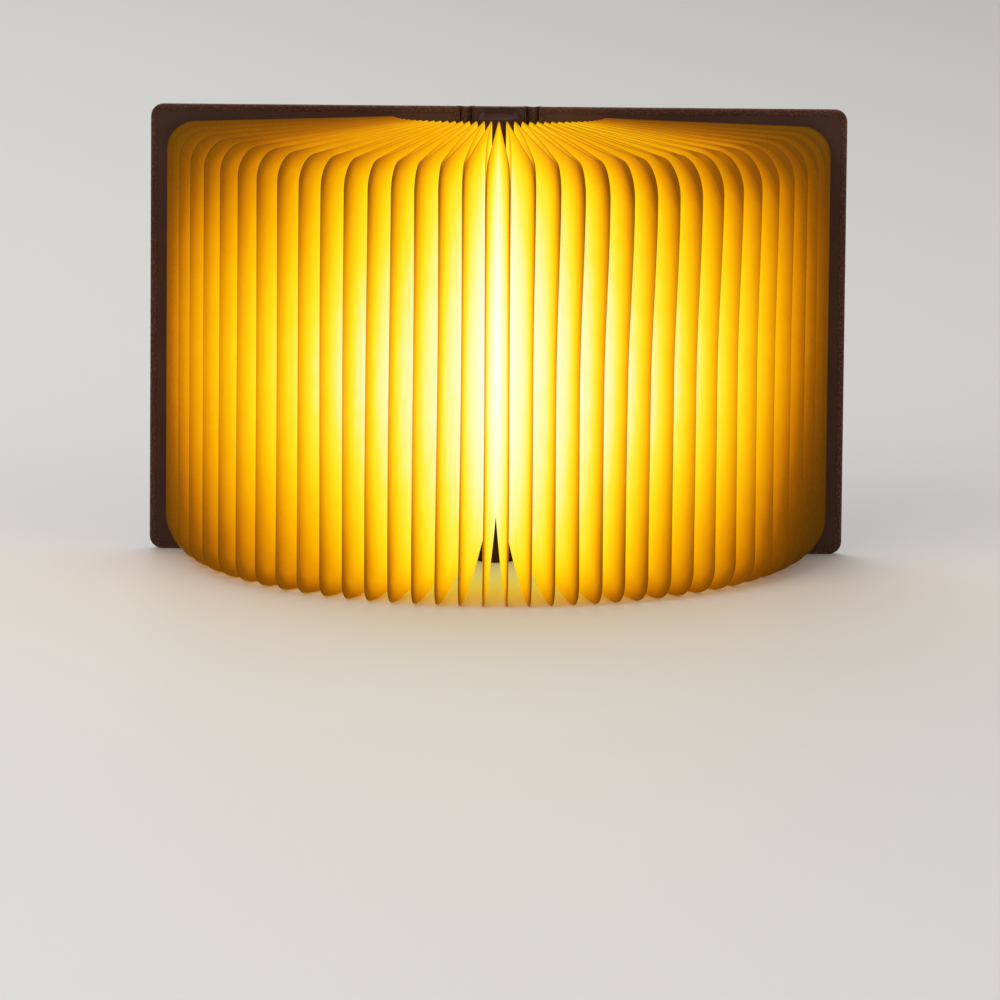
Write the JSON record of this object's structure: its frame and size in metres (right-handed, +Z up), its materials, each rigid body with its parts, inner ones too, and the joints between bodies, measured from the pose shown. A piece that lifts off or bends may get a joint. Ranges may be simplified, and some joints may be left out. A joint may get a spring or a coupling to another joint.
{
  "type": "book lamp",
  "caption": "Folding table lamp shaped as a hardback book, whose pleated translucent pages fan out round a lit core on the spine.",
  "frame": {"origin": "centre of the flat underside of the lamp core, on the surface that the lamp stands on", "axes": "+X to the right along the open covers, +Y from the pages to the spine, +Z up along the spine"},
  "size_m": [0.331, 0.1478, 0.215],
  "materials": {
    "paper": "matte",
    "leather": "satin",
    "board": "matte",
    "endpaper": "matte",
    "core_plastic": "matte",
    "opal": "satin",
    "circuit_board": "satin",
    "led": "gloss",
    "battery_foil": "satin",
    "foam": "matte",
    "steel": "satin",
    "switch_glass": "gloss",
    "magnet": "polished"
  },
  "bodies": {
    "spine": {"spine_board": "board", "spine_leather": "leather", "right_hinge_strip": "leather", "left_hinge_strip": "leather", "core_housing": "core_plastic", "top_cap": "core_plastic", "bottom_cap": "core_plastic", "diffuser": "opal", "led_board": "circuit_board", "leds": "led", "battery": "battery_foil", "battery_pad": "foam", "charge_board": "circuit_board", "usb_inlet": "steel", "reed_switch": "switch_glass", "cap_screws": "steel"},
    "right_cover": {"right_board": "board", "right_leather": "leather", "right_endpaper": "endpaper", "right_magnets": "magnet"},
    "left_cover": {"left_board": "board", "left_leather": "leather", "left_endpaper": "endpaper", "left_magnets": "magnet"},
    "pleat_01": {"pleat_01": "paper"},
    "pleat_02": {"pleat_02": "paper"},
    "pleat_03": {"pleat_03": "paper"},
    "pleat_04": {"pleat_04": "paper"},
    "pleat_05": {"pleat_05": "paper"},
    "pleat_06": {"pleat_06": "paper"},
    "pleat_07": {"pleat_07": "paper"},
    "pleat_08": {"pleat_08": "paper"},
    "pleat_09": {"pleat_09": "paper"},
    "pleat_10": {"pleat_10": "paper"},
    "pleat_11": {"pleat_11": "paper"},
    "pleat_12": {"pleat_12": "paper"},
    "pleat_13": {"pleat_13": "paper"},
    "pleat_14": {"pleat_14": "paper"},
    "pleat_15": {"pleat_15": "paper"},
    "pleat_16": {"pleat_16": "paper"},
    "pleat_17": {"pleat_17": "paper"},
    "pleat_18": {"pleat_18": "paper"},
    "pleat_19": {"pleat_19": "paper"},
    "pleat_20": {"pleat_20": "paper"},
    "pleat_21": {"pleat_21": "paper"},
    "pleat_22": {"pleat_22": "paper"},
    "pleat_23": {"pleat_23": "paper"},
    "pleat_24": {"pleat_24": "paper"},
    "pleat_25": {"pleat_25": "paper"},
    "pleat_26": {"pleat_26": "paper"},
    "pleat_27": {"pleat_27": "paper"},
    "pleat_28": {"pleat_28": "paper"},
    "pleat_29": {"pleat_29": "paper"},
    "pleat_30": {"pleat_30": "paper"},
    "pleat_31": {"pleat_31": "paper"},
    "pleat_32": {"pleat_32": "paper"},
    "pleat_33": {"pleat_33": "paper"},
    "pleat_34": {"pleat_34": "paper"},
    "pleat_35": {"pleat_35": "paper"},
    "pleat_36": {"pleat_36": "paper"}
  },
  "joints": [
    {"name": "right_cover_hinge", "type": "hinge", "parent": "spine", "child": "right_cover", "pos_m": [0.01375, 0.018, 0], "axis": [0, 0, 1], "range_deg": [-90, 94.5], "deforming": ["right_hinge_strip"]},
    {"name": "left_cover_hinge", "type": "hinge", "parent": "spine", "child": "left_cover", "pos_m": [-0.01375, 0.018, 0], "axis": [0, 0, 1], "range_deg": [-94.5, 90], "deforming": ["left_hinge_strip"]},
    {"name": "pleat_01_fold", "type": "hinge", "parent": "spine", "child": "pleat_01", "pos_m": [-0.01016, 0.018, 0], "axis": [0, 0, 1], "range_deg": [-90.98, 86.65], "deforming": ["pleat_01"]},
    {"name": "pleat_02_fold", "type": "hinge", "parent": "spine", "child": "pleat_02", "pos_m": [-0.00958, 0.018, 0], "axis": [0, 0, 1], "range_deg": [-84.14, 80.14], "deforming": ["pleat_02"]},
    {"name": "pleat_03_fold", "type": "hinge", "parent": "spine", "child": "pleat_03", "pos_m": [-0.009, 0.018, 0], "axis": [0, 0, 1], "range_deg": [-77.6, 73.9], "deforming": ["pleat_03"]},
    {"name": "pleat_04_fold", "type": "hinge", "parent": "spine", "child": "pleat_04", "pos_m": [-0.00842, 0.018, 0], "axis": [0, 0, 1], "range_deg": [-71.32, 67.93], "deforming": ["pleat_04"]},
    {"name": "pleat_05_fold", "type": "hinge", "parent": "spine", "child": "pleat_05", "pos_m": [-0.00784, 0.018, 0], "axis": [0, 0, 1], "range_deg": [-65.3, 62.19], "deforming": ["pleat_05"]},
    {"name": "pleat_06_fold", "type": "hinge", "parent": "spine", "child": "pleat_06", "pos_m": [-0.00726, 0.018, 0], "axis": [0, 0, 1], "range_deg": [-59.52, 56.69], "deforming": ["pleat_06"]},
    {"name": "pleat_07_fold", "type": "hinge", "parent": "spine", "child": "pleat_07", "pos_m": [-0.00668, 0.018, 0], "axis": [0, 0, 1], "range_deg": [-53.95, 51.38], "deforming": ["pleat_07"]},
    {"name": "pleat_08_fold", "type": "hinge", "parent": "spine", "child": "pleat_08", "pos_m": [-0.0061, 0.018, 0], "axis": [0, 0, 1], "range_deg": [-48.59, 46.28], "deforming": ["pleat_08"]},
    {"name": "pleat_09_fold", "type": "hinge", "parent": "spine", "child": "pleat_09", "pos_m": [-0.00552, 0.018, 0], "axis": [0, 0, 1], "range_deg": [-43.41, 41.34], "deforming": ["pleat_09"]},
    {"name": "pleat_10_fold", "type": "hinge", "parent": "spine", "child": "pleat_10", "pos_m": [-0.00493, 0.018, 0], "axis": [0, 0, 1], "range_deg": [-38.39, 36.57], "deforming": ["pleat_10"]},
    {"name": "pleat_11_fold", "type": "hinge", "parent": "spine", "child": "pleat_11", "pos_m": [-0.00435, 0.018, 0], "axis": [0, 0, 1], "range_deg": [-33.53, 31.93], "deforming": ["pleat_11"]},
    {"name": "pleat_12_fold", "type": "hinge", "parent": "spine", "child": "pleat_12", "pos_m": [-0.00377, 0.018, 0], "axis": [0, 0, 1], "range_deg": [-28.79, 27.42], "deforming": ["pleat_12"]},
    {"name": "pleat_13_fold", "type": "hinge", "parent": "spine", "child": "pleat_13", "pos_m": [-0.00319, 0.018, 0], "axis": [0, 0, 1], "range_deg": [-24.17, 23.02], "deforming": ["pleat_13"]},
    {"name": "pleat_14_fold", "type": "hinge", "parent": "spine", "child": "pleat_14", "pos_m": [-0.00261, 0.018, 0], "axis": [0, 0, 1], "range_deg": [-19.65, 18.71], "deforming": ["pleat_14"]},
    {"name": "pleat_15_fold", "type": "hinge", "parent": "spine", "child": "pleat_15", "pos_m": [-0.00203, 0.018, 0], "axis": [0, 0, 1], "range_deg": [-15.2, 14.48], "deforming": ["pleat_15"]},
    {"name": "pleat_16_fold", "type": "hinge", "parent": "spine", "child": "pleat_16", "pos_m": [-0.00145, 0.018, 0], "axis": [0, 0, 1], "range_deg": [-10.82, 10.3], "deforming": ["pleat_16"]},
    {"name": "pleat_17_fold", "type": "hinge", "parent": "spine", "child": "pleat_17", "pos_m": [-0.00087, 0.018, 0], "axis": [0, 0, 1], "range_deg": [-6.48, 6.17], "deforming": ["pleat_17"]},
    {"name": "pleat_18_fold", "type": "hinge", "parent": "spine", "child": "pleat_18", "pos_m": [-0.00029, 0.018, 0], "axis": [0, 0, 1], "range_deg": [-2.16, 2.06], "deforming": ["pleat_18"]},
    {"name": "pleat_19_fold", "type": "hinge", "parent": "spine", "child": "pleat_19", "pos_m": [0.00029, 0.018, 0], "axis": [0, 0, 1], "range_deg": [-2.06, 2.16], "deforming": ["pleat_19"]},
    {"name": "pleat_20_fold", "type": "hinge", "parent": "spine", "child": "pleat_20", "pos_m": [0.00087, 0.018, 0], "axis": [0, 0, 1], "range_deg": [-6.17, 6.48], "deforming": ["pleat_20"]},
    {"name": "pleat_21_fold", "type": "hinge", "parent": "spine", "child": "pleat_21", "pos_m": [0.00145, 0.018, 0], "axis": [0, 0, 1], "range_deg": [-10.3, 10.82], "deforming": ["pleat_21"]},
    {"name": "pleat_22_fold", "type": "hinge", "parent": "spine", "child": "pleat_22", "pos_m": [0.00203, 0.018, 0], "axis": [0, 0, 1], "range_deg": [-14.48, 15.2], "deforming": ["pleat_22"]},
    {"name": "pleat_23_fold", "type": "hinge", "parent": "spine", "child": "pleat_23", "pos_m": [0.00261, 0.018, 0], "axis": [0, 0, 1], "range_deg": [-18.71, 19.65], "deforming": ["pleat_23"]},
    {"name": "pleat_24_fold", "type": "hinge", "parent": "spine", "child": "pleat_24", "pos_m": [0.00319, 0.018, 0], "axis": [0, 0, 1], "range_deg": [-23.02, 24.17], "deforming": ["pleat_24"]},
    {"name": "pleat_25_fold", "type": "hinge", "parent": "spine", "child": "pleat_25", "pos_m": [0.00377, 0.018, 0], "axis": [0, 0, 1], "range_deg": [-27.42, 28.79], "deforming": ["pleat_25"]},
    {"name": "pleat_26_fold", "type": "hinge", "parent": "spine", "child": "pleat_26", "pos_m": [0.00435, 0.018, 0], "axis": [0, 0, 1], "range_deg": [-31.93, 33.53], "deforming": ["pleat_26"]},
    {"name": "pleat_27_fold", "type": "hinge", "parent": "spine", "child": "pleat_27", "pos_m": [0.00493, 0.018, 0], "axis": [0, 0, 1], "range_deg": [-36.57, 38.39], "deforming": ["pleat_27"]},
    {"name": "pleat_28_fold", "type": "hinge", "parent": "spine", "child": "pleat_28", "pos_m": [0.00552, 0.018, 0], "axis": [0, 0, 1], "range_deg": [-41.34, 43.41], "deforming": ["pleat_28"]},
    {"name": "pleat_29_fold", "type": "hinge", "parent": "spine", "child": "pleat_29", "pos_m": [0.0061, 0.018, 0], "axis": [0, 0, 1], "range_deg": [-46.28, 48.59], "deforming": ["pleat_29"]},
    {"name": "pleat_30_fold", "type": "hinge", "parent": "spine", "child": "pleat_30", "pos_m": [0.00668, 0.018, 0], "axis": [0, 0, 1], "range_deg": [-51.38, 53.95], "deforming": ["pleat_30"]},
    {"name": "pleat_31_fold", "type": "hinge", "parent": "spine", "child": "pleat_31", "pos_m": [0.00726, 0.018, 0], "axis": [0, 0, 1], "range_deg": [-56.69, 59.52], "deforming": ["pleat_31"]},
    {"name": "pleat_32_fold", "type": "hinge", "parent": "spine", "child": "pleat_32", "pos_m": [0.00784, 0.018, 0], "axis": [0, 0, 1], "range_deg": [-62.19, 65.3], "deforming": ["pleat_32"]},
    {"name": "pleat_33_fold", "type": "hinge", "parent": "spine", "child": "pleat_33", "pos_m": [0.00842, 0.018, 0], "axis": [0, 0, 1], "range_deg": [-67.93, 71.32], "deforming": ["pleat_33"]},
    {"name": "pleat_34_fold", "type": "hinge", "parent": "spine", "child": "pleat_34", "pos_m": [0.009, 0.018, 0], "axis": [0, 0, 1], "range_deg": [-73.9, 77.6], "deforming": ["pleat_34"]},
    {"name": "pleat_35_fold", "type": "hinge", "parent": "spine", "child": "pleat_35", "pos_m": [0.00958, 0.018, 0], "axis": [0, 0, 1], "range_deg": [-80.14, 84.14], "deforming": ["pleat_35"]},
    {"name": "pleat_36_fold", "type": "hinge", "parent": "spine", "child": "pleat_36", "pos_m": [0.01016, 0.018, 0], "axis": [0, 0, 1], "range_deg": [-86.65, 90.98], "deforming": ["pleat_36"]}
  ],
  "couplings": [
    {"joint": "left_cover_hinge", "follows": "right_cover_hinge", "ratio": -1},
    {"joint": "pleat_01_fold", "follows": "right_cover_hinge", "ratio": -0.96264},
    {"joint": "pleat_02_fold", "follows": "right_cover_hinge", "ratio": -0.89031},
    {"joint": "pleat_03_fold", "follows": "right_cover_hinge", "ratio": -0.82105},
    {"joint": "pleat_04_fold", "follows": "right_cover_hinge", "ratio": -0.75465},
    {"joint": "pleat_05_fold", "follows": "right_cover_hinge", "ratio": -0.69094},
    {"joint": "pleat_06_fold", "follows": "right_cover_hinge", "ratio": -0.62973},
    {"joint": "pleat_07_fold", "follows": "right_cover_hinge", "ratio": -0.57083},
    {"joint": "pleat_08_fold", "follows": "right_cover_hinge", "ratio": -0.51406},
    {"joint": "pleat_09_fold", "follows": "right_cover_hinge", "ratio": -0.45924},
    {"joint": "pleat_10_fold", "follows": "right_cover_hinge", "ratio": -0.40618},
    {"joint": "pleat_11_fold", "follows": "right_cover_hinge", "ratio": -0.35469},
    {"joint": "pleat_12_fold", "follows": "right_cover_hinge", "ratio": -0.30459},
    {"joint": "pleat_13_fold", "follows": "right_cover_hinge", "ratio": -0.25569},
    {"joint": "pleat_14_fold", "follows": "right_cover_hinge", "ratio": -0.20781},
    {"joint": "pleat_15_fold", "follows": "right_cover_hinge", "ratio": -0.16077},
    {"joint": "pleat_16_fold", "follows": "right_cover_hinge", "ratio": -0.11437},
    {"joint": "pleat_17_fold", "follows": "right_cover_hinge", "ratio": -0.068437},
    {"joint": "pleat_18_fold", "follows": "right_cover_hinge", "ratio": -0.022782},
    {"joint": "pleat_19_fold", "follows": "right_cover_hinge", "ratio": 0.022782},
    {"joint": "pleat_20_fold", "follows": "right_cover_hinge", "ratio": 0.068437},
    {"joint": "pleat_21_fold", "follows": "right_cover_hinge", "ratio": 0.11437},
    {"joint": "pleat_22_fold", "follows": "right_cover_hinge", "ratio": 0.16077},
    {"joint": "pleat_23_fold", "follows": "right_cover_hinge", "ratio": 0.20781},
    {"joint": "pleat_24_fold", "follows": "right_cover_hinge", "ratio": 0.25569},
    {"joint": "pleat_25_fold", "follows": "right_cover_hinge", "ratio": 0.30459},
    {"joint": "pleat_26_fold", "follows": "right_cover_hinge", "ratio": 0.35469},
    {"joint": "pleat_27_fold", "follows": "right_cover_hinge", "ratio": 0.40618},
    {"joint": "pleat_28_fold", "follows": "right_cover_hinge", "ratio": 0.45924},
    {"joint": "pleat_29_fold", "follows": "right_cover_hinge", "ratio": 0.51406},
    {"joint": "pleat_30_fold", "follows": "right_cover_hinge", "ratio": 0.57083},
    {"joint": "pleat_31_fold", "follows": "right_cover_hinge", "ratio": 0.62973},
    {"joint": "pleat_32_fold", "follows": "right_cover_hinge", "ratio": 0.69094},
    {"joint": "pleat_33_fold", "follows": "right_cover_hinge", "ratio": 0.75465},
    {"joint": "pleat_34_fold", "follows": "right_cover_hinge", "ratio": 0.82105},
    {"joint": "pleat_35_fold", "follows": "right_cover_hinge", "ratio": 0.89031},
    {"joint": "pleat_36_fold", "follows": "right_cover_hinge", "ratio": 0.96264}
  ]
}
